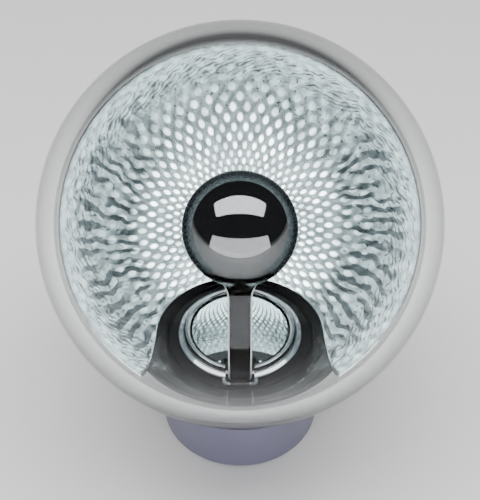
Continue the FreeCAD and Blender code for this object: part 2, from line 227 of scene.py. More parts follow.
def make_handling_group():
    """Faint cloudy wear: colour drift, roughness drift and a fine bump, on object coordinates."""
    group, tree, given, out = new_group(
        "handling_marks", "ShaderNodeTree",
        [("Colour", "NodeSocketColor", (0.5, 0.5, 0.5, 1)), ("Drift", "NodeSocketFloat", 0.1),
         ("Roughness", "NodeSocketFloat", 0.3), ("Spread", "NodeSocketFloat", 0.1),
         ("Cloud Scale", "NodeSocketFloat", 30.0), ("Grain Scale", "NodeSocketFloat", 900.0),
         ("Bump", "NodeSocketFloat", 0.05)],
        [("Colour", "NodeSocketColor"), ("Roughness", "NodeSocketFloat"), ("Normal", "NodeSocketVector")])
    place = tree.add("ShaderNodeTexCoord").outputs["Object"]
    cloud = tree.add("ShaderNodeTexNoise", {"Vector": place, "Scale": given["Cloud Scale"], "Detail": 4.0})
    grain = tree.add("ShaderNodeTexNoise", {"Vector": place, "Scale": given["Grain Scale"], "Detail": 2.0})
    lift = tree.maths("SUBTRACT", cloud.outputs["Fac"], 0.5)
    tone = tree.maths("ADD", 1.0, tree.maths("MULTIPLY", lift, given["Drift"]))
    shade = tree.add("ShaderNodeVectorMath", {0: given["Colour"], "Scale": tone}, operation="SCALE")
    tree.put(out["Colour"], shade.outputs[0])
    mixed = tree.maths("ADD", lift, tree.maths("SUBTRACT", grain.outputs["Fac"], 0.5))
    tree.put(out["Roughness"], tree.maths(
        "ADD", given["Roughness"], tree.maths("MULTIPLY", mixed, given["Spread"])))
    bump = tree.add("ShaderNodeBump", {
        "Strength": given["Bump"], "Distance": 0.0002, "Height": grain.outputs["Fac"]})
    tree.put(out["Normal"], bump.outputs[0])
    return group


HANDLING = make_handling_group()


def finish(name, colour, roughness, metallic=0.0, drift=0.25, spread=0.06, bump=0.04,
           cloud=30.0, grain=900.0, **sockets):
    """A Principled material whose colour, roughness and normal come from the handling marks."""
    material = bpy.data.materials.new(name)
    material.use_nodes = True
    tree = Tree(material.node_tree)
    shader = material.node_tree.nodes["Principled BSDF"]
    marks = tree.add("ShaderNodeGroup", node_tree=HANDLING)
    values = {"Colour": (*colour, 1), "Drift": drift, "Roughness": roughness, "Spread": spread,
              "Cloud Scale": cloud, "Grain Scale": grain, "Bump": bump}
    for key, value in values.items():
        marks.inputs[key].default_value = value
    tree.put(shader.inputs["Base Color"], marks.outputs["Colour"])
    tree.put(shader.inputs["Roughness"], marks.outputs["Roughness"])
    tree.put(shader.inputs["Normal"], marks.outputs["Normal"])
    shader.inputs["Metallic"].default_value = metallic
    for key, value in sockets.items():
        shader.inputs[key.replace("_", " ")].default_value = value
    return material


def clear_glass(name, tint, roughness, rim=0.03):
    """Coated glass, hardly reflecting face on, whose colour darkens towards its rim as painted shade."""
    material = finish(
        name, tint, roughness, drift=0.03, spread=0.012, bump=0.0, cloud=16.0,
        Transmission_Weight=1.0, IOR=1.25, Specular_Tint=(0.05, 0.05, 0.05, 1))
    tree = Tree(material.node_tree)
    shader = material.node_tree.nodes["Principled BSDF"]
    clear = shader.inputs["Base Color"].links[0].from_socket
    # Painted shade: the colour darkens where the glass is seen edge on, towards its rim.
    facing = tree.add("ShaderNodeLayerWeight", {"Blend": 0.5}).outputs["Facing"]
    edge = step_between(tree, facing, 0.50, 0.95)
    shade = tree.add("ShaderNodeMix", {0: edge, 6: clear, 7: (rim, rim, rim * 1.03, 1)}, data_type="RGBA")
    tree.put(shader.inputs["Base Color"], shade.outputs[2])
    return material


# Materials of the object --------------------------------------------------------------------------

def lilac_paint(settings):
    return finish(
        "lilac_paint", settings.lilac, 0.42, drift=0.18, spread=0.10, bump=0.10, grain=1600.0,
        Coat_Weight=0.12, Coat_Roughness=0.25)


def black_gloss(settings):
    return finish(
        "black_gloss", settings.black, 0.05, drift=0.5, spread=0.03, bump=0.01, Specular_IOR_Level=0.05)


def polished_dark_steel(settings):
    return finish(
        "polished_dark_steel", settings.steel, 0.035, metallic=1.0, drift=0.22, spread=0.02, bump=0.0,
        cloud=55.0, Specular_Tint=(0.30, 0.30, 0.30, 1))


def bezel_chrome():
    return finish(
        "bezel_chrome", (0.30, 0.305, 0.32), 0.05, metallic=1.0, drift=0.2, spread=0.02, bump=0.0,
        cloud=70.0, Specular_Tint=(0.25, 0.25, 0.25, 1))


def stem_face_painted_shade(settings):
    # Painted shade: a darker copy of the lever's steel for the stem's flat faces.
    return finish(
        "stem_face_painted_shade", [channel * 0.45 for channel in settings.steel], 0.06, metallic=1.0, drift=0.3,
        spread=0.03, bump=0.0, cloud=60.0, Specular_Tint=(0.30, 0.30, 0.30, 1))


def edge_painted_highlight():
    # Painted highlight: a paler, rougher copy of the lever's steel for its edges, so they look bright.
    return finish(
        "edge_painted_highlight", (0.90, 0.90, 0.91), 0.28, metallic=0.3, drift=0.1, spread=0.04, bump=0.0, cloud=90.0)


def mirror_window():
    return finish(
        "mirror_window", (0.72, 0.80, 0.81), 0.03, metallic=1.0, drift=0.12, spread=0.015, bump=0.0)


def make_place_group():
    """Place on the reflector, as plain values.

    Ring X and Ring Y lie on a circle as long as the columns, and Outward counts rows of the same size.
    Reach is 0 at the pole and 1 at 90 degrees from it, and Lift is 1 straight above the pole.
    """
    group, tree, given, out = new_group(
        "reflector_place", "ShaderNodeTree", [("Columns", "NodeSocketFloat", 48.0)],
        [(name, "NodeSocketFloat") for name in ("Ring X", "Ring Y", "Turns", "Outward", "Reach", "Lift")])
    place = tree.add("ShaderNodeTexCoord").outputs["Object"]
    from_centre = tree.add("ShaderNodeVectorMath", {0: place, 1: tuple(GLOBE_C)}, operation="SUBTRACT")
    aimed = tree.add("ShaderNodeVectorMath", {0: from_centre.outputs[0]}, operation="NORMALIZE").outputs[0]
    side = Vector((1, 0, 0))

    def along(axis):
        node = tree.add("ShaderNodeVectorMath", {0: aimed, 1: tuple(axis)}, operation="DOT_PRODUCT")
        return node.outputs["Value"]

    unit = tree.maths("DIVIDE", given["Columns"], 2 * math.pi)
    flat = tree.add("ShaderNodeCombineXYZ", {0: along(side), 1: along(side.cross(INWARD)), 2: 0.0})
    circle = tree.add("ShaderNodeVectorMath", {0: flat.outputs[0]}, operation="NORMALIZE")
    level, lift, _ = tree.add("ShaderNodeSeparateXYZ", {0: circle.outputs[0]}).outputs
    polar = tree.maths("ARCCOSINE", along(INWARD))
    spread = tree.maths("LOGARITHM", tree.maths("TANGENT", tree.maths("MULTIPLY", polar, 0.5)), math.e)
    tree.put(out["Ring X"], tree.maths("MULTIPLY", level, unit))
    tree.put(out["Ring Y"], tree.maths("MULTIPLY", lift, unit))
    tree.put(out["Turns"], tree.maths("DIVIDE", tree.maths("ARCTAN2", lift, level), 2 * math.pi))
    tree.put(out["Outward"], tree.maths("MULTIPLY", spread, unit))
    tree.put(out["Reach"], tree.maths("DIVIDE", polar, math.pi / 2))
    tree.put(out["Lift"], lift)
    return group


REFLECTOR_PLACE = make_place_group()


def grain_along(tree, spot, across, outward, detail):
    """Noise on the reflector's own grid, by features per column across and outward."""
    place = tree.add("ShaderNodeCombineXYZ", {
        0: spot.outputs["Ring X"], 1: spot.outputs["Ring Y"],
        2: tree.maths("MULTIPLY", spot.outputs["Outward"], outward / across)})
    noise = tree.add("ShaderNodeTexNoise", {"Vector": place.outputs[0], "Scale": across, "Detail": detail})
    return noise.outputs["Fac"]


def bent_lines(tree, spot, count, slant, bend):
    """Lines outward over the reflector, a whole number in one turn, from 0 in a line to 1 between."""
    turned = tree.maths("MULTIPLY", spot.outputs["Turns"], float(count))
    leaning = tree.maths("MULTIPLY_ADD", spot.outputs["Outward"], slant, turned)
    angle = tree.maths("MULTIPLY", tree.maths("ADD", leaning, bend), 2 * math.pi)
    return tree.maths("MULTIPLY_ADD", tree.maths("COSINE", angle), 0.5, 0.5)


def make_painted_light_group():
    """Painted light on the cells: how bright a place is, its ground with the dark marks on it, and the white
    cores as painted highlights.
    """
    group, tree, given, out = new_group(
        "cell_painted_light_marks", "ShaderNodeTree",
        [("Crown", "NodeSocketFloat", 0.5), ("Chance", "NodeSocketFloat", 0.5)],
        [("Painted Glow", "NodeSocketFloat"), ("Painted Highlight", "NodeSocketFloat")])
    spot = tree.add("ShaderNodeGroup", node_tree=REFLECTOR_PLACE)
    reach = spot.outputs["Reach"]

    # Wavy dark streaks in the painted reflection, strongest beside the pole and broken into patches
    beside = step_between(tree, spot.outputs["Lift"], 0.45, 0.98, 1.0, 0.35)
    sway = grain_along(tree, spot, 0.34, 0.34, 1.5)
    shiver = grain_along(tree, spot, 1.3, 0.9, 1.0)
    bend = tree.maths("ADD", tree.maths("MULTIPLY", sway, 2.6), tree.maths("MULTIPLY", shiver, 0.9))
    streaks = step_between(tree, bent_lines(tree, spot, 66, 0.10, bend), 0.30, 0.66, 1.0, 0.0)
    patches = step_between(tree, grain_along(tree, spot, 0.8, 0.5, 1.0), 0.26, 0.50, 0.25, 1.0)
    zone = tree.maths("MULTIPLY", band(tree, reach, 0.38, 0.50, 0.78, 0.90), beside)
    dark_streak = tree.maths("MULTIPLY", zone, tree.maths("MULTIPLY", streaks, patches))

    # Small dark specks in the painted reflection, among the streaks
    specks = grain_along(tree, spot, 5.0, 4.0, 0.0)
    dark_speck = tree.maths("MULTIPLY", band(tree, reach, 0.45, 0.55, 0.78, 0.88),
                            step_between(tree, specks, 0.25, 0.32, 1.0, 0.0))

    # Slanting dark dashes in the painted reflection near the rim
    rows = step_between(tree, bent_lines(
        tree, spot, 90, 2.3, tree.maths("MULTIPLY", bend, 1.7)), 0.20, 0.62, 1.0, 0.0)
    dashes = step_between(tree, grain_along(tree, spot, 1.6, 2.4, 1.0), 0.36, 0.54)
    dark_row = tree.maths("MULTIPLY", band(tree, reach, 0.66, 0.78, 0.94, 1.02),
                          tree.maths("MULTIPLY", rows, dashes))

    # The painted glow's own ripple, then the dark marks on it
    ripple = grain_along(tree, spot, 1.9, 0.9, 3.0)
    ground = step_between(tree, ripple, 0.25, 0.75, 0.55, 1.25)
    for dark, strength in ((dark_streak, 0.86), (dark_speck, 0.75), (dark_row, 0.82)):
        ground = tree.maths("MULTIPLY", ground, tree.maths(
            "SUBTRACT", 1.0, tree.maths("MULTIPLY", dark, strength)))
    tree.put(out["Painted Glow"], ground)

    # Painted highlights: white cores on the cells' crowns, brightest near the pole
    crown = step_between(tree, given["Crown"], 0.46, 0.84)
    kept = tree.maths("MULTIPLY", crown, tree.maths("SUBTRACT", 1.0, tree.maths(
        "MAXIMUM", dark_streak, tree.maths("MULTIPLY", zone, 0.72))))
    near = step_between(tree, reach, 0.42, 0.72, 1.0, 0.10)
    flash = tree.maths("MULTIPLY", near, step_between(tree, tree.maths(
        "ADD", given["Chance"], tree.maths("MULTIPLY", ripple, 0.8)), 0.35, 1.25, 0.35, 1.0))
    tree.put(out["Painted Highlight"], tree.maths("MULTIPLY", kept, flash))
    return group


def cell_painted_light(settings):
    """Silvered cells with painted light: emission paints white highlight cores on a paler glowing ground,
    then dark streaks and fine rows further out.
    """
    material = bpy.data.materials.new("cell_silver_painted_glow")
    material.use_nodes = True
    tree = Tree(material.node_tree)
    shader = material.node_tree.nodes["Principled BSDF"]
    painted_marks = tree.add("ShaderNodeGroup", node_tree=make_painted_light_group())
    tree.put(painted_marks.inputs["Crown"], tree.add(
        "ShaderNodeAttribute", attribute_name="cell_crown").outputs["Fac"])
    chance = tree.add("ShaderNodeAttribute", attribute_name="cell_random").outputs["Fac"]
    tree.put(painted_marks.inputs["Chance"], chance)
    reach = tree.add("ShaderNodeAttribute", attribute_name="cell_reach").outputs["Fac"]
    # Painted light falloff: the glow's brightness across the reflector, by distance from the pole.
    painted_light_ramp = tree.add("ShaderNodeValToRGB", {"Fac": reach})
    stops = painted_light_ramp.color_ramp.elements
    stops[0].color = (0.10, 0.10, 0.10, 1)
    stops[1].color = (0.14, 0.14, 0.14, 1)
    for position, bright in ((0.34, 0.075), (0.50, 0.068), (0.72, 0.095), (0.86, 0.11), (0.96, 0.15)):
        stops.new(position).color = (bright, bright, bright, 1)
    ground = tree.maths("MULTIPLY", painted_marks.outputs["Painted Glow"], painted_light_ramp.outputs["Color"])
    level = tree.maths("ADD", ground, painted_marks.outputs["Painted Highlight"])
    hue = tree.add("ShaderNodeMix", {0: painted_marks.outputs["Painted Highlight"], 6: (*settings.painted_light_colour, 1),
                                     7: (0.95, 1.0, 1.0, 1)}, data_type="RGBA").outputs[2]
    tint = tree.add("ShaderNodeVectorMath", {0: hue, "Scale": level}, operation="SCALE")
    # Painted light: the emission is the cells' glow and highlights, not a lamp.
    tree.put(shader.inputs["Emission Color"], tint.outputs[0])
    shader.inputs["Emission Strength"].default_value = settings.painted_light_strength
    # The base colour follows the same painted glow pattern.
    base = tree.add("ShaderNodeMix", {0: painted_marks.outputs["Painted Glow"], 6: (0.03, 0.035, 0.04, 1),
                                      7: (0.22, 0.25, 0.26, 1)}, data_type="RGBA")
    tree.put(shader.inputs["Base Color"], base.outputs[2])
    tree.put(shader.inputs["Roughness"], tree.maths("MULTIPLY_ADD", chance, 0.10, 0.16))
    shader.inputs["Metallic"].default_value = 1.0
    return material


def lining_silver(settings):
    """The lining's back: silvered, and uneven where the cells press through."""
    material = finish(
        "lining_silver", (0.55, 0.60, 0.61), 0.20, metallic=1.0, drift=0.15, spread=0.08, grain=700.0)
    tree = Tree(material.node_tree)
    shader = material.node_tree.nodes["Principled BSDF"]
    spot = tree.add("ShaderNodeGroup", node_tree=REFLECTOR_PLACE)
    spot.inputs["Columns"].default_value = settings.columns
    bump = tree.add("ShaderNodeBump", {
        "Strength": 0.5, "Distance": 0.0006, "Height": grain_along(tree, spot, 1.0, 1.0, 1.0)})
    tree.put(shader.inputs["Normal"], bump.outputs[0])
    return material


# Mesh helpers -------------------------------------------------------------------------------------

def keep(obj, materials, body, *nodes, angle=32.0):
    """Finish a piece: materials, smooth shading with sharp edges, body, and the nodes it stands for."""
    mesh = obj.data
    mesh.materials.clear()
    for material in materials if isinstance(materials, list) else [materials]:
        mesh.materials.append(material)
    shape = bmesh.new()
    shape.from_mesh(mesh)
    bmesh.ops.remove_doubles(shape, verts=shape.verts, dist=1e-7)
    bmesh.ops.dissolve_degenerate(shape, edges=shape.edges, dist=1e-8)
    for face in shape.faces:
        face.smooth = True
    for edge in shape.edges:
        edge.smooth = edge.is_manifold and edge.calc_face_angle(0.0) < math.radians(angle)
    shape.to_mesh(mesh)
    shape.free()
    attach(obj, body)
    if nodes:
        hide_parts(*nodes)
    return obj


def mesh_object(name, shape):
    mesh = bpy.data.meshes.new(name)
    shape.to_mesh(mesh)
    shape.free()
    obj = bpy.data.objects.new(name, mesh)
    bpy.context.scene.collection.objects.link(obj)
    return obj


def rounded(corners, steps=6):
    """An outline with its corners rounded: corners are (r, z, radius), and it is closed."""
    points = []
    count = len(corners)
    for k, (r, z, radius) in enumerate(corners):
        here = Vector((r, z))
        if radius <= 0:
            points.append((r, z))
            continue
        before = (Vector(corners[k - 1][:2]) - here).normalized()
        after = (Vector(corners[(k + 1) % count][:2]) - here).normalized()
        turn = before.angle(after)
        reach = radius / math.tan(turn / 2)
        centre = here + (before + after).normalized() * (radius / math.sin(turn / 2))
        start = here + before * reach - centre
        sweep = start.angle_signed(here + after * reach - centre)
        for s in range(steps + 1):
            point = centre + Matrix.Rotation(-sweep * s / steps, 2) @ start
            points.append((point.x, point.y))
    return points


def arc(centre_z, radius, start, end, steps):
    """Points (r, z) on a circle about (0, centre_z); angles in degrees from the downward axis."""
    points = []
    for s in range(steps + 1):
        a = math.radians(start + (end - start) * s / steps)
        points.append((radius * math.sin(a), centre_z - radius * math.cos(a)))
    return points


def lathe(name, outline, steps, closed=True):
    """A turned piece about Z from its outline of (r, z) points."""
    shape = bmesh.new()
    rings = []
    for r, z in outline:
        if r < 1e-6:
            rings.append([shape.verts.new((0, 0, z))])
        else:
            turns = [2 * math.pi * k / steps for k in range(steps)]
            rings.append([shape.verts.new((r * math.cos(a), r * math.sin(a), z)) for a in turns])
    pairs = list(zip(rings, rings[1:]))
    if closed and len(rings[0]) > 1 and len(rings[-1]) > 1:
        pairs.append((rings[-1], rings[0]))
    for a, b in pairs:
        for k in range(steps):
            n = (k + 1) % steps
            corners = [a[k % len(a)], a[n % len(a)], b[n % len(b)], b[k % len(b)]]
            unique = list(dict.fromkeys(corners))
            if len(unique) > 2:
                shape.faces.new(unique)
    bmesh.ops.recalc_face_normals(shape, faces=shape.faces)
    return mesh_object(name, shape)


def box_tool(x0, x1, y0, y1, z0, z1, soften=0.0):
    """A block to cut with; its upright edges may be rounded."""
    shape = bmesh.new()
    bmesh.ops.create_cube(shape, size=1.0)
    size = Matrix.Diagonal((x1 - x0, y1 - y0, z1 - z0, 1))
    shape.transform(Matrix.Translation(((x0 + x1) / 2, (y0 + y1) / 2, (z0 + z1) / 2)) @ size)
    if soften:
        upright = [e for e in shape.edges if abs(e.verts[0].co.z - e.verts[1].co.z) > 1e-5]
        bmesh.ops.bevel(shape, geom=upright, offset=soften, segments=8, affect="EDGES", profile=0.5)
    return mesh_object("cutter", shape)


def rod_tool(start, direction, radius, length, steps=64):
    shape = bmesh.new()
    bmesh.ops.create_cone(
        shape, cap_ends=True, segments=steps, radius1=radius, radius2=radius, depth=length)
    turn = Vector(direction).to_track_quat("Z", "Y").to_matrix().to_4x4()
    shape.transform(Matrix.Translation(Vector(start) + Vector(direction).normalized() * length / 2) @ turn)
    return mesh_object("cutter", shape)


def hinge_tool(radius, half):
    """A rod along the lever's hinge, with its half length."""
    return rod_tool(PIVOT - Vector((half, 0, 0)), (1, 0, 0), radius, 2 * half, 32)


def combine(obj, tool, operation="DIFFERENCE"):
    """Cut a tool out of a piece, or join it on, and drop the tool."""
    modifier = obj.modifiers.new("combine", "BOOLEAN")
    modifier.operation = operation
    modifier.solver = "EXACT"
    modifier.object = tool
    bpy.context.view_layer.update()
    result = bpy.data.meshes.new_from_object(obj.evaluated_get(bpy.context.evaluated_depsgraph_get()))
    obj.modifiers.clear()
    obj.data = result
    bpy.data.objects.remove(tool)
    return obj


# Pieces -------------------------------------------------------------------------------------------

def make_globe():
    """Thick clear globe, open at the neck, with its neck edge ground straight."""
    inner_r = GLOBE_R - GLOBE_WALL
    set_back = 0.6
    chamfer = 0.5 * MM
    outer = arc(GLOBE_C.z, GLOBE_R, math.degrees(math.asin(NECK_R / GLOBE_R)) + set_back, 180.0, 120)
    inner = arc(GLOBE_C.z, inner_r, math.degrees(math.asin(NECK_R / inner_r)) + set_back, 180.0, 120)
    lip = [(NECK_R, outer[0][1] + chamfer), (NECK_R, inner[0][1] - chamfer)]
    globe = lathe("globe_glass", outer[::-1] + lip + inner, 256, closed=False)
    keep(globe, clear_glass("clear_glass", (0.97, 0.995, 0.995), 0.004), "globe", "glass_globe")


def neck_root(half):
    """Where the neck's fillet leaves a stem of that half width, as a distance from the pivot."""
    return STEM_LENGTH - math.sqrt((BALL_R + NECK_FILLET) ** 2 - (half + NECK_FILLET) ** 2)


def neck_meet(half):
    """Where the same fillet runs into the ball."""
    return STEM_LENGTH - (STEM_LENGTH - neck_root(half)) * BALL_R / (BALL_R + NECK_FILLET)


def lever_half(distance, half):
    """Half width of the lever's skin at a distance from the pivot: foot, stem, fillet, then ball."""
    if distance < 0:
        return half * (1 - abs(distance / TIP) ** 3) ** (1 / 3)
    if distance < neck_root(half):
        return half
    if distance < neck_meet(half):
        return half + NECK_FILLET - math.sqrt(NECK_FILLET ** 2 - (distance - neck_root(half)) ** 2)
    return math.sqrt(max(0.0, BALL_R ** 2 - (distance - STEM_LENGTH) ** 2))


NECK_ROOT = min(neck_root(STEM_HALF), neck_root(STEM_DEPTH))
NECK_MEET = max(neck_meet(STEM_HALF), neck_meet(STEM_DEPTH))


def lever_stations():
    """Distances from the pivot of the lever's sections: foot, stem, neck, then ball."""
    first = math.degrees(math.acos((STEM_LENGTH - NECK_MEET) / BALL_R))
    last = 178
    foot = [-TIP * math.cos(math.radians(a)) ** 0.5 for a in range(5, 90, 5)]
    stem = [NECK_ROOT * k / 16 for k in range(16)]
    neck = [NECK_ROOT + (NECK_MEET - NECK_ROOT) * k / 40 for k in range(40)]
    ball = [STEM_LENGTH - BALL_R * math.cos(math.radians(first + (last - first) * k / 90))
            for k in range(91)]
    return foot + stem + neck + ball


def lever_section(distance, steps):
    """Points round the lever: a soft-edged bar on the stem, which turns oval up the neck."""
    side = Vector((1, 0, 0))
    front = STEM_AXIS.cross(side)
    wide = lever_half(distance, STEM_HALF)
    deep = lever_half(distance, STEM_DEPTH)
    square = 1 - min(1.0, max(0.0, (distance - NECK_ROOT) / (NECK_MEET - NECK_ROOT)))
    power = 2 / (2 + 3 * square)
    centre = PIVOT + STEM_AXIS * distance
    points = []
    for k in range(steps):
        c = math.cos(2 * math.pi * k / steps)
        d = math.sin(2 * math.pi * k / steps)
        points.append(centre + side * wide * math.copysign(abs(c) ** power, c)
                      + front * deep * math.copysign(abs(d) ** power, d))
    return points


def lever_finish(centre):
    """Which of the lever's finishes a face has: 0 ball, 1 edge with painted highlight, 2 flat of the stem
    with painted shade.
    """
    distance = (centre - PIVOT).dot(STEM_AXIS)
    climb = min(1.0, max(0.0, (distance - NECK_MEET) / (0.9 * BALL_R)))
    if climb == 1.0:
        return 0
    # Faces at the sides and the foot's end get the painted highlight.
    near_side = abs(centre.x) > lever_half(distance, STEM_HALF) * (0.87 + 0.13 * climb)
    if near_side or distance < -0.8 * TIP:
        return 1
    return 2 if distance < NECK_MEET else 0


def make_lever(settings):
    """The ball, its neck, the flat stem and the round foot as one skin along the stem's axis."""
    steps = settings.lathe_steps
    shape = bmesh.new()
    rings = [[shape.verts.new(point) for point in lever_section(distance, steps)]
             for distance in lever_stations()]
    for a, b in zip(rings, rings[1:]):
        for k in range(steps):
            n = (k + 1) % steps
            shape.faces.new((a[k], a[n], b[n], b[k]))
    for ring, end in ((rings[0], PIVOT - STEM_AXIS * TIP), (rings[-1], BALL_C + STEM_AXIS * BALL_R)):
        pole = shape.verts.new(end)
        for k in range(steps):
            shape.faces.new((ring[k], ring[(k + 1) % steps], pole))
    bmesh.ops.recalc_face_normals(shape, faces=shape.faces)
    lever = mesh_object("polished_lever", shape)
    combine(lever, rod_tool(BALL_C + INWARD * LAMP_SEAT, INWARD, LAMP_BORE_R, 12 * MM))
    combine(lever, hinge_tool(0.95 * MM, 10 * MM))
    keep(lever, [polished_dark_steel(settings), edge_painted_highlight(), stem_face_painted_shade(settings)], "lever",
         "ball_lever")
    for face in lever.data.polygons:
        face.material_index = lever_finish(face.center)


def make_bezel(settings):
    """Polished ring in two steps, with a slot and a thin lip round the lever's foot."""
    bore = 20.6 * MM
    flange = 25.6 * MM
    step_z = 47.5 * MM
    lip = 1.2 * MM
    lip_z = 46.4 * MM
    outline = rounded([
        (bore, DECK_Z, 0), (flange, DECK_Z, 0), (flange, step_z - 0.8 * MM, 0.8 * MM),
        (flange - 2.0 * MM, step_z, 0.5 * MM), (flange - 2.4 * MM, step_z - 0.4 * MM, 0.15 * MM),
        (flange - 3.2 * MM, BEZEL_TOP_Z - 0.1 * MM, 0.6 * MM), (bore + 0.7 * MM, BEZEL_TOP_Z, 0.5 * MM),
        (bore, BEZEL_TOP_Z - 0.8 * MM, 0.4 * MM)])
    ring = lathe("bezel_collar", outline, settings.lathe_steps)
    tab = box_tool(-SLOT_HALF - lip, SLOT_HALF + lip, SLOT_FRONT_Y - 1.1 * MM, -24.0 * MM, DECK_Z, lip_z,
                   soften=1.8 * MM)
    combine(ring, tab, "UNION")
    combine(ring, box_tool(-SLOT_HALF, SLOT_HALF, SLOT_FRONT_Y, -10 * MM, DECK_Z - MM, 60 * MM,
                           soften=SLOT_CORNER))
    combine(ring, hinge_tool(0.9 * MM, 8.4 * MM))
    keep(ring, bezel_chrome(), "head", "bezel_ring", angle=28)


def make_window(settings):
    """Half-silvered domed window with the gap for the lever's foot."""
    radius = half_width("window_lens")
    base = low("window_lens")[2]
    top = high("window_lens")[2]
    rise = 2.0 * MM
    hollow_r = 17.0 * MM
    hollow_drop = 2.0 * MM
    dome_r = (radius ** 2 + rise ** 2) / (2 * rise)
    edge = math.degrees(math.asin(radius / dome_r))
    dome = arc(top - dome_r, dome_r, 180.0, 180.0 - edge, 40)
    hollow = [(r, z - hollow_drop) for r, z in dome if r < hollow_r]
    outline = dome + [(radius, base), (hollow_r, base)] + hollow[::-1]
    window = lathe("domed_window", outline, settings.lathe_steps, closed=False)
    gap = SLOT_HALF + 0.4 * MM
    combine(window, box_tool(-gap, gap, -30 * MM, SLOT_BACK_Y, base - 5 * MM, 60 * MM))
    keep(window, mirror_window(), "head", "window_lens")


def make_deck(settings):
    """Glossy black deck in the globe's neck, with the pocket for the lever's foot."""
    floor = low("deck_housing")[2]
    well_r = 18.6 * MM
    well_z = 39.6 * MM
    wire_hole_r = 8.0 * MM
    pocket_z = 41.6 * MM
    outline = rounded([
        (wire_hole_r, floor, 0), (DECK_R, floor, 0), (DECK_R, DECK_Z, 1.4 * MM),
        (well_r, DECK_Z, 0.3 * MM), (well_r, well_z, 0), (wire_hole_r, well_z, 0)])
    deck = lathe("black_deck", outline, settings.lathe_steps)
    combine(deck, box_tool(-SLOT_HALF, SLOT_HALF, SLOT_FRONT_Y, SLOT_BACK_Y, pocket_z, 60 * MM,
                           soften=SLOT_CORNER))
    keep(deck, black_gloss(settings), "head", "deck_housing")


def make_cup(settings):
    """Glossy black cup that follows the globe, from the pedestal's width out to its rim."""
    seat = GLOBE_R + 1.2 * MM
    rim = 46.0 * MM
    inside_floor = 37.4 * MM
    hub_r = 18.1 * MM
    floor = low("cradle_cup")[2]
    wide = half_width("cradle_cup")
    inner = arc(GLOBE_C.z, seat, math.degrees(math.asin(NECK_R / seat)), math.degrees(math.asin(rim / seat)),
                24)
    rim_z = inner[-1][1]
    lip = [(rim + 0.45 * MM, rim_z + 0.45 * MM), (rim + 1.0 * MM, rim_z + 0.55 * MM),
           (wide - 0.25 * MM, rim_z + 0.4 * MM), (wide, rim_z - 0.15 * MM)]
    flare_r = wide - 0.1 * MM
    flare_foot = floor + 1.0 * MM
    flare_top = rim_z - 0.5 * MM
    outer = []
    for k in range(25):
        t = 1 - k / 24
        outer.append((TOP_R + (flare_r - TOP_R) * t, flare_foot + (flare_top - flare_foot) * t ** 1.25))
    base = [(TOP_R - 0.3 * MM, floor + 0.3 * MM), (TOP_R - MM, floor), (hub_r, floor),
            (hub_r, inside_floor), (NECK_R, inside_floor)]
    cup = lathe("black_cup", inner + lip + outer + base, settings.lathe_steps)
    screw_circle = 26.5 * MM
    for k in range(3):
        a = math.radians(90 + 120 * k)
        hole = (screw_circle * math.cos(a), screw_circle * math.sin(a), floor - MM)
        combine(cup, rod_tool(hole, (0, 0, 1), 2.4 * MM, 2.5 * MM, 32))
    keep(cup, black_gloss(settings), "head", "cradle_cup")


def make_pedestal(settings):
    """Satin shell, a little wider at the top, open at the back for the button and the inlet."""
    foot_r = 32.3 * MM
    wall = 2.5 * MM
    bush_r = 15.0 * MM
    rebate_z = 5.5 * MM
    outline = rounded([
        (foot_r, FOOT_Z, 0.9 * MM), (TOP_R, TOP_Z, 1.1 * MM), (bush_r, TOP_Z, 0),
        (bush_r, TOP_Z - wall, 0), (TOP_R - wall, TOP_Z - wall, 2.0 * MM),
        (foot_r - wall, rebate_z, 0), (foot_r - wall, FOOT_Z, 0.3 * MM)], steps=8)
    shell = lathe("lilac_pedestal", outline, settings.lathe_steps)
    for node, radius in (("power_button", 4.8 * MM), ("power_socket", 4.0 * MM)):
        combine(shell, rod_tool((0, 20 * MM, middle_z(node)), (0, 1, 0), radius, 20 * MM))
    keep(shell, lilac_paint(settings), "pedestal", "pedestal_shell")


def make_button():
    """Round button with a dished face, a collar inside the shell and a stem to the switch."""
    inner = low("power_button")[1]
    face = high("power_button")[1]
    radius = 4.5 * MM
    collar_r = radius + 1.5 * MM
    collar_back = inner + 2.4 * MM
    collar_front = inner + 3.9 * MM
    stem_r = 1.6 * MM
    dish = [(radius * k / 8, face - 0.45 * MM * (1 - (k / 8) ** 2)) for k in range(7)]
    outline = dish + [(radius - 0.25 * MM, face), (radius, face - 0.3 * MM), (radius, collar_front),
                      (collar_r, collar_front), (collar_r, collar_back),
                      (stem_r, collar_back), (stem_r, inner), (0.0, inner)]
    button = lathe("round_button", outline, 64, closed=False)
    button.data.transform(Matrix.Translation((0, 0, middle_z("power_button")))
                          @ Matrix.Rotation(math.radians(-90), 4, "X"))
    keep(button, finish("button_satin", (0.045, 0.045, 0.055), 0.38, bump=0.08), "button", "power_button")


# Reflector cells ----------------------------------------------------------------------------------

